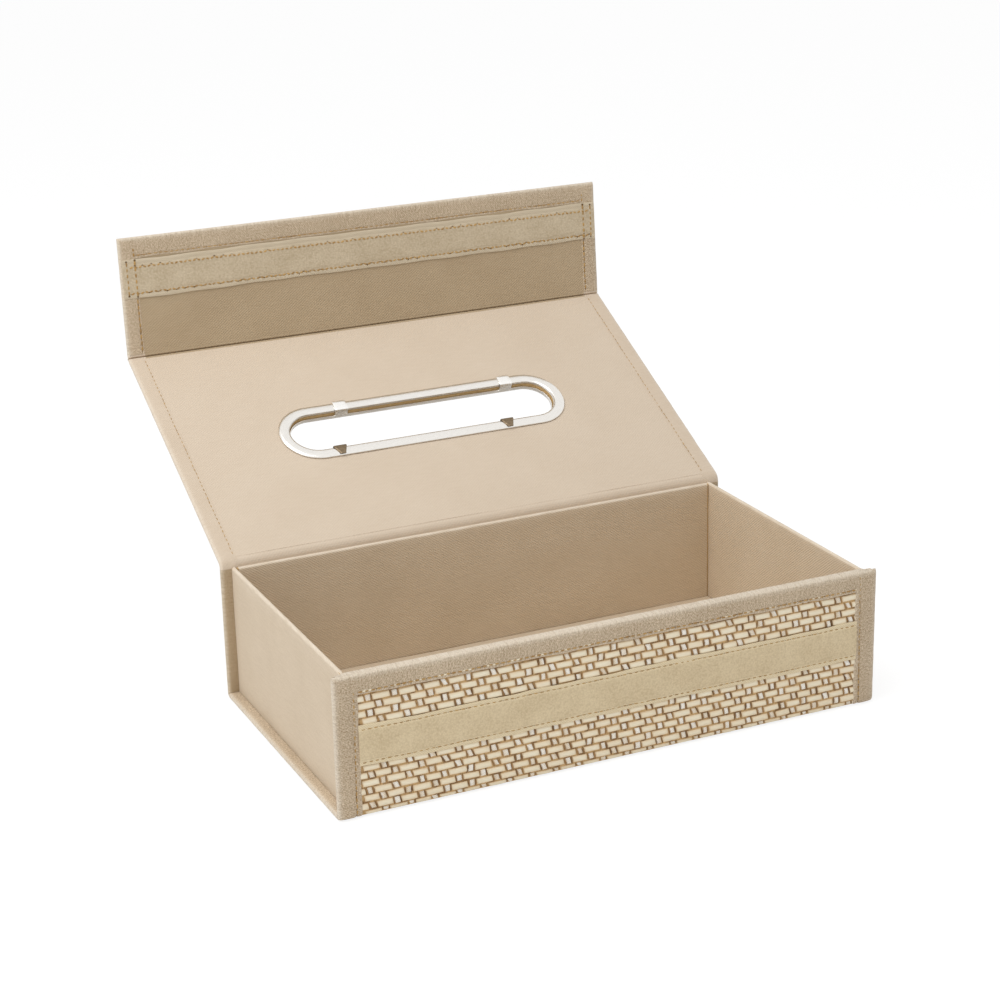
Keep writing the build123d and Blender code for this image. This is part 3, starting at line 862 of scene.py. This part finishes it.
def fastener(name, light, dark, pile_size, relief, sheen, edge_tone):
    """Nylon tape with a pile of tangled loops or hooks of this size in mm, and woven edges."""
    material, at = laid_material(name)
    edge = add_node(material, "Attribute", {"attribute_name": "worn"}, {}).outputs["Fac"]
    fine = {"Vector": at, "Scale": 1 / pile_size, "Detail": 3.0, "Distortion": 1.2}
    tangle = add_node(material, "TexNoise", {}, fine).outputs["Fac"]
    coarse = {"Vector": at, "Scale": 1 / (1.6 * pile_size)}
    tufts = add_node(material, "TexVoronoi", {"feature": "F1"}, coarse).outputs["Distance"]
    bands = {"Vector": at, "Scale": band_unit / 0.55, "Distortion": 2.0}
    selvage = add_node(material, "TexWave", {"bands_direction": "DIAGONAL"}, bands).outputs["Fac"]
    pile = add_node(material, "Math", plain_sum, {0: tufts, 1: -0.7, 2: tangle}).outputs[0]
    height = add_node(material, "Mix", {"data_type": "FLOAT"}, {0: edge, 2: pile, 3: selvage}).outputs[0]
    tone = add_node(material, "TexNoise", {}, {"Vector": at, "Scale": 0.06, "Detail": 2.0}).outputs["Fac"]
    for mark, strength in ((height, 1.1), (edge, edge_tone)):
        tone = add_node(material, "Math", plain_sum, {0: mark, 1: strength, 2: tone}).outputs[0]
    share = add_node(material, "MapRange", {}, {"Value": tone, "From Min": 0.2, "From Max": 1.5}).outputs[0]
    finish(material, share, linear(dark), linear(light), height, 0.7, relief, 0.7, 0.95,
           {"Sheen Weight": sheen, "Sheen Roughness": 0.4})
    return material


# Brushed nylon loops about 0.5 mm across, felted together, a warm straw colour.
loop_pile = fastener("brushed_nylon_loop", "#ecdab6", "#c9b48f", 0.55, 0.18, 0.35, 0.4)
# Nylon hooks about 0.6 mm apart, stiffer and greyer than the loops.
hook_pile = fastener("nylon_hook", "#dfd0b6", "#bba98b", 0.6, 0.25, 0.1, 0.15)


def tape_section(wide, edge_high, pile_high, seam_in):
    """Across a fastener tape: the distance from its edge, its height and 1 on the woven edges."""
    half = [
        (0.0, 0.0, 1.0),
        (0.03, edge_high * 0.8, 1.0),
        (0.25, edge_high, 1.0),
        (seam_in - 0.5, edge_high, 1.0),
        (seam_in, edge_high - 0.14, 1.0),
        (seam_in + 0.5, edge_high + 0.05, 0.6),
        (seam_in + 1.0, pile_high - 0.1, 0.0),
        (seam_in + 1.8, pile_high, 0.0),
    ]
    middle = [(d, pile_high, 0.0) for d in steps(seam_in + 2.8, wide - seam_in - 2.8, 1.0)]
    return np.array(half + middle + [(wide - d, h, e) for d, h, e in reversed(half)])


# A tape stands off its base depth outwards (-1) or inwards (1).
loop_section = tape_section(loop_wide, 0.55, 0.9, loop_seam)
hook_section = tape_section(hook_wide, 0.5, 0.72, hook_seam)
for panel, kind, section, s_low, half, base, side, seed, material in (
    ("front", "loop", loop_section, loop_low, 124.4, 0.05, -1, 61, loop_pile),
    ("flap", "hook", hook_section, hook_low, 134.0, hook_base, 1, 71, hook_pile),
):
    x = steps(-half, half, 1.5)[None, :]
    from_edge, high, edge = (section[:, k, None] for k in range(3))
    s = s_low + from_edge + 0.22 * ripple(x, 0 * x, 26.0, seed) * (1 + 0.8 * edge)
    fluff = 0.05 * ripple(x, s, 3.1, seed + 1) + 0.05 * ripple(x, s, 14.0, seed + 2)
    pull = 0.1 * edge * (0.5 - 0.5 * np.cos(2 * math.pi * x / stitch_pitch))
    stand = high + np.where(high > 0, fluff - pull, 0)
    face, back = on_panel(panel, x, s, base + side * stand), on_panel(panel, x, s, base - side * 0.02)
    tape = cloth_shell(f"{panel}_{kind}_pile", face, back, x, from_edge, edge, material)
    fix(tape, body_of[panel], kind + "_tape", f"{panel}_{kind}_tape")
    wide = section[-1, 0]

# ---- Stitching ----
# Golden brown cotton sewing thread: each stitch is about 2 mm of thread that goes down into a
# needle hole at both ends.

# Mercerised cotton: golden brown, with its two plies about 0.4 mm apart and a slight lustre.
sewing_thread = spun_cotton(
    "mercerised_cotton_thread", "#8f6a38", "#cfa765", 0.5, ply=0.4, sway=0.6, kinks=1.0, twist=0.5,
    relief=0.1, smooth=0.5, rough=0.75,
)

# The cloth round a needle hole, drawn in and dark with shade.
needle_hole, at = laid_material("needle_hole")
shade = add_node(needle_hole, "TexNoise", {}, {"Vector": at, "Scale": 2.0}).outputs["Fac"]
finish(needle_hole, shade, linear("#4a3420"), linear("#86683f"), shade, 1.0, 0.1, 0.85, 1.0)


def row_along_s(x, s_start, s_end, drift=0.0):
    """The needle holes of a row that runs along a panel, as (x, s)."""
    s = steps(s_start, s_end, stitch_pitch)
    return np.stack([x + drift * (s - s_start) / (s_end - s_start), s], -1)


def row_along_x(s, half, zigzag=0.0):
    """The needle holes of a row that runs across a panel, straight or in a zigzag."""
    x = steps(-half, half, 2.4 if zigzag else stitch_pitch)
    return np.stack([x, s + zigzag * (np.arange(len(x)) % 2 - 0.5)], -1)


def sew(panel, rows, *nodes):
    """Every stitch of a panel. A row is its holes, the depth of the cloth's face, the side that the
    thread shows on (-1 outside, 1 inside) and the thread's size."""
    name = panel + "_seams"
    draw = np.random.default_rng(seed_of(name))
    grids = []
    q, k = np.meshgrid([-1, -0.8, -0.35, 0.35, 0.8, 1], np.arange(7), indexing="ij")
    angle = k * math.pi / 3
    reach = 0.5 + 0.36 * q
    waist = np.sqrt(1 - 0.75 * q**4)
    turn, ring = np.meshgrid(np.arange(7) * math.pi / 3, [0.05, 0.6, 1.0], indexing="ij")
    for holes, depth, side, thread in rows:
        holes = holes + draw.normal(0, 0.09, holes.shape)
        for (x0, s0), (x1, s1) in zip(holes[:-1], holes[1:]):
            across = np.array([-(s1 - s0), x1 - x0]) / math.hypot(x1 - x0, s1 - s0)
            wide, high = thread * draw.uniform(0.2, 0.27), thread * draw.uniform(0.14, 0.2)
            x = x0 + (x1 - x0) * reach + across[0] * wide * waist * np.cos(angle)
            s = s0 + (s1 - s0) * reach + across[1] * wide * waist * np.cos(angle)
            t = depth + side * (0.1 - 0.3 * q**4 + high * waist * np.sin(angle))
            grids.append((on_panel(panel, x, s, t), x, s + angle, draw.uniform(0, 1), 0))
        for x0, s0 in holes:
            size = thread * draw.uniform(0.26, 0.38)
            x, s = x0 + size * ring * np.cos(turn), s0 + size * ring * np.sin(turn)
            t = depth + side * (0.03 - 0.06 * ring)
            grids.append((on_panel(panel, x, s, t), x, s, 0.0, 1))
    piece = join_grids(name, grids, [sewing_thread, needle_hole])
    fix(piece, body_of[panel], "thread", *nodes)


def both_sides(x, s_start, s_end, depth, side, thread, drift=0.0):
    """The rows of stitches along the left and right edges, which are mirror images."""
    rows = [row_along_s(hand * x, s_start, s_end, hand * drift) for hand in (-1, 1)]
    return [(holes, depth, side, thread) for holes in rows]


outer_x = half_width - side_seam
inner_x = outer_x + 0.6
sunk = -0.14
front_rows = both_sides(outer_x, 1.6, 65.4, sunk, -1, 1.45, drift=-0.9)
front_rows.append((row_along_x(front_height - front_seam, 124.0), -0.08, -1, 1.5))
for s in (loop_low + loop_seam, loop_low + loop_wide - loop_seam):
    front_rows.append((row_along_x(s, 123.6), -0.34, -1, 0.95))
sew("front", front_rows, "front_stitching")
sew("back", both_sides(outer_x, 1.6, 64.8, sunk, -1, 1.2), "back_stitching")
sew("bottom", both_sides(outer_x, -71.0, 71.0, 0.22, -1, 1.0))
lid_rows = both_sides(outer_x, 3.6, 146.6, sunk, -1, 1.2)
lid_rows += both_sides(inner_x, 3.6, 146.6, 2.78, 1, 0.75)
sew("lid", lid_rows, "lid_stitching")
flap_rows = both_sides(outer_x, 3.6, 60.8, sunk, -1, 1.2)
flap_rows.append((row_along_x(flap_length - flap_seam_outside, 124.0), -0.08, -1, 1.2))
hook_face = hook_base + 0.62
for side in (-1, 1):
    flap_rows.append((row_along_s(side * inner_x, 3.6, 31.0), 2.84, 1, 1.9))
    flap_rows.append((row_along_s(side * inner_x, 32.2, 51.0), hook_face, 1, 1.9))
    flap_rows.append((row_along_s(side * inner_x, 52.4, 57.4), 2.84, 1, 1.9))
    flap_rows.append((row_along_s(side * 131.6, 32.8, 50.4), hook_face, 1, 1.6))
flap_rows.append((row_along_x(flap_length - flap_seam_inside, 126.0), 2.8, 1, 1.2))
flap_rows.append((row_along_x(hook_low + hook_seam, 130.6, 1.1), hook_face - 0.2, 1, 1.7))
flap_rows.append((row_along_x(hook_low + hook_wide - 4.2, 130.6, 1.1), hook_face, 1, 1.7))
sew("flap", flap_rows, "flap_stitching")

# ---- Slot frame ----
# Two pressed aluminium rings round the slot, polished: a frame outside, whose lip lines the cut in
# the board, and a flat ring inside. Four tabs from the frame fold over the ring and hold it.

ring_middle = 15.95


def aluminium(name, dark, light, smooth, rough):
    """Pressed aluminium: a metal with faint rub marks, about 3 mm long and 0.4 mm apart."""
    material, at = laid_material(name)
    drawn = add_node(material, "Mapping", {}, {"Vector": at, "Scale": (0.3, 2.5, 1.0)}).outputs[0]
    marks = add_node(material, "TexNoise", {}, {"Vector": drawn, "Scale": 1.0, "Detail": 4.0}).outputs["Fac"]
    finish(material, marks, linear(dark), linear(light), marks, 0.15, 0.1, smooth, rough, {"Metallic": 1.0})
    return material


# The rings are bright and slightly warm. Folding has burnished the two far tabs, and the two near
# ones are browned, with a dark face.
polished_metal = aluminium("polished_aluminium", "#e2ded8", "#f6f3ee", 0.14, 0.34)
bright_metal = aluminium("burnished_aluminium", "#f4f2ee", "#fffdfa", 0.2, 0.36)
browned_metal = aluminium("browned_aluminium", "#4f3c28", "#a5937a", 0.3, 0.5)

# Each ring's section: out from its middle line, and how far it stands off its base depth.
ring_section = np.array([
    (-2.9, 0.02), (-2.9, 0.6), (-2.76, 1.0), (-2.4, 1.32), (-1.8, 1.52), (-1.0, 1.6), (0.2, 1.58),
    (1.2, 1.48), (2.0, 1.3), (2.55, 1.02), (2.84, 0.72), (2.88, 0.42), (2.7, 0.2), (2.2, 0.08),
])
frame_section = np.array([
    (-3.7, -0.9), (-3.7, 0.7), (-3.5, 1.05), (-3.1, 1.2), (1.9, 1.2), (2.45, 1.08), (2.78, 0.8),
    (2.9, 0.35), (2.9, 0.0), (-3.1, 0.0), (-3.1, -0.9), (-3.4, -1.0),
])
arc = np.linspace(-90, 90, 37)
end_x = np.repeat([slot_straight, -slot_straight], len(arc))
turn = np.radians(np.concatenate([arc, arc + 180]))
for name, section, base, side, node_name in (
    ("slot_inner_ring", ring_section, cover, 1, "slot_backing_ring"),
    ("slot_outer_frame", frame_section, 0.0, -1, "slot_frame"),
):
    out = ring_middle + section[:, :1]
    x, s = end_x + out * np.cos(turn), slot_s + out * np.sin(turn)
    places = on_panel("lid", x, s, base + side * section[:, 1:])
    round_it = lengths_along(places[0]) * 1000
    laid = np.stack(np.broadcast_arrays(round_it, section[:, :1], 0.0), -1)
    quads = quads_of(grid_index(len(section), len(turn), join_rows=True, join_columns=True))
    pressed = make_piece(name, places, quads, laid, 0.0, [polished_metal])
    fix(pressed, "lid", "frame_metal", node_name)

# A tab: up from the lip, over the ring's edge and down on its face. (out from the middle, depth)
tab_path = np.array([
    (-3.4, 0.6), (-3.4, 2.0), (-3.4, 4.0), (-3.3, 4.4), (-3.0, 4.62), (-2.5, 4.7), (-1.0, 4.74),
    (1.2, 4.72), (2.2, 4.66), (2.6, 4.5),
])
tab_half_thick = 0.25
across = np.array([-3.5, -3.42, -3.1, -1.5, 0, 1.5, 3.1, 3.42, 3.5])
rounded = np.array([0.3, 0.1, 0.0, 0.0, 0.0, 0.0, 0.0, 0.1, 0.3])
way = ways_along(tab_path)
# The near two are cut narrower towards their ends.
taper = 0.6 * np.clip((tab_path[:, :1] + 2.6) / 5.0, 0, 1)
for far_side, middle in ((1, -41.0), (1, 51.5), (-1, -51.5), (-1, 41.0)):
    x = middle + across * (1 - (taper if far_side < 0 else 0.0))
    grids = []
    for lift in (tab_half_thick - rounded, -tab_half_thick):
        out = tab_path[:, :1] - way[:, 1:] * lift
        deep = tab_path[:, 1:] + way[:, :1] * lift
        grids.append(on_panel("lid", x, slot_s + far_side * (ring_middle + out), deep))
    name = f"slot_tab_{'far' if far_side > 0 else 'near'}_{'left' if middle < 0 else 'right'}"
    down_it = 0.8 * np.arange(len(tab_path))[:, None]
    metal = bright_metal if far_side > 0 else browned_metal
    tab = cloth_shell(name, *grids, across, down_it, 0.0, metal)
    fix(tab, "lid", "frame_metal")

# ---- Studio ----
# A plain white floor and a white surround, lit by one wide soft lamp over the left front and by
# the surround itself. The camera stands where the photograph's did.

reach, table = 6.0, -0.0003
corners = [(-reach, -reach, table), (reach, -reach, table), (reach, reach, table), (-reach, reach, table)]
floor_mesh = bpy.data.meshes.new("studio_floor")
floor_mesh.from_pydata(corners, [], [(0, 1, 2, 3)])
floor = bpy.data.objects.new("studio_floor", floor_mesh)
bpy.context.scene.collection.objects.link(floor)
# Matt white paper. Part of what the camera sees of it is plain white, so that it meets the surround.
white_paper = new_material("white_backdrop_paper")
shader = white_paper.node_tree.nodes["Principled BSDF"]
feed(shader, {"Base Color": linear("#f7f7f7"), "Roughness": 0.9, "Specular IOR Level": 0.1})
seen = add_node(white_paper, "LightPath", {}, {}).outputs["Is Camera Ray"]
glow = add_node(white_paper, "Emission", {}, {"Color": linear("#ffffff"), "Strength": 1.12}).outputs[0]
share = add_node(white_paper, "Math", {"operation": "MULTIPLY"}, {0: seen, 1: 0.75}).outputs[0]
both = add_node(white_paper, "MixShader", {}, {0: share, 1: shader.outputs[0], 2: glow}).outputs[0]
feed(white_paper.node_tree.nodes["Material Output"], {"Surface": both})
floor_mesh.materials.append(white_paper)
floor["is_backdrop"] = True

surround = bpy.data.worlds.new("white_surround")
bpy.context.scene.world = surround
surround.use_nodes = True
path = add_node(surround, "LightPath", {}, {})
seen = path.outputs["Is Camera Ray"]
for ray in ("Is Glossy Ray", "Is Transmission Ray"):
    seen = add_node(surround, "Math", {"operation": "MAXIMUM"}, {0: seen, 1: path.outputs[ray]}).outputs[0]
level = add_node(surround, "MapRange", {}, {"Value": seen, "To Min": 0.57, "To Max": 1.0}).outputs[0]
feed(surround.node_tree.nodes["Background"], {"Color": linear("#ffffff"), "Strength": level})


def stand(thing, place, look, roll):
    """Stands the lamp or the camera at a place, looking one way and rolled about it."""
    look = look / np.linalg.norm(look)
    right = np.cross(look, (0, 0, 1))
    right = right / np.linalg.norm(right)
    up = np.cross(right, look)
    matrix = np.eye(4)
    matrix[:3, 0] = right * math.cos(roll) + up * math.sin(roll)
    matrix[:3, 1] = up * math.cos(roll) - right * math.sin(roll)
    matrix[:3, 2] = -look
    matrix[:3, 3] = place
    thing.matrix_world = matrix.T.tolist()


softbox = bpy.data.lights.new("overhead_softbox", "AREA")
softbox.shape = "RECTANGLE"
softbox.size = 1.0
softbox.size_y = 0.8
softbox.energy = 9.4
lamp = bpy.data.objects.new("overhead_softbox", softbox)
bpy.context.scene.collection.objects.link(lamp)
lamp_place = np.array([-0.55, -0.15, 1.15])
stand(lamp, lamp_place, np.array([0.0, 0.02, 0.08]) - lamp_place, 0.0)

camera_data = bpy.data.cameras.new("camera")
camera_data.sensor_width = 36.0
camera_data.lens = 84.03
camera_data.shift_x = 0.0209
camera_data.shift_y = -0.0099
camera_data.clip_start = 0.05
camera_data.clip_end = 30.0
camera = bpy.data.objects.new("camera", camera_data)
bpy.context.scene.collection.objects.link(camera)
bpy.context.scene.camera = camera
azimuth, elevation = math.radians(-24.01), math.radians(19.11)
across, forward = math.sin(-azimuth), math.cos(azimuth)
look = np.array([math.cos(elevation) * across, math.cos(elevation) * forward, -math.sin(elevation)])
distance = 1.04839
stand(camera, np.array([-0.03857, -0.014, 0.11621]) - look * distance, look, math.radians(-1.55))
bpy.context.scene.view_settings.view_transform = "Standard"

low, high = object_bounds()
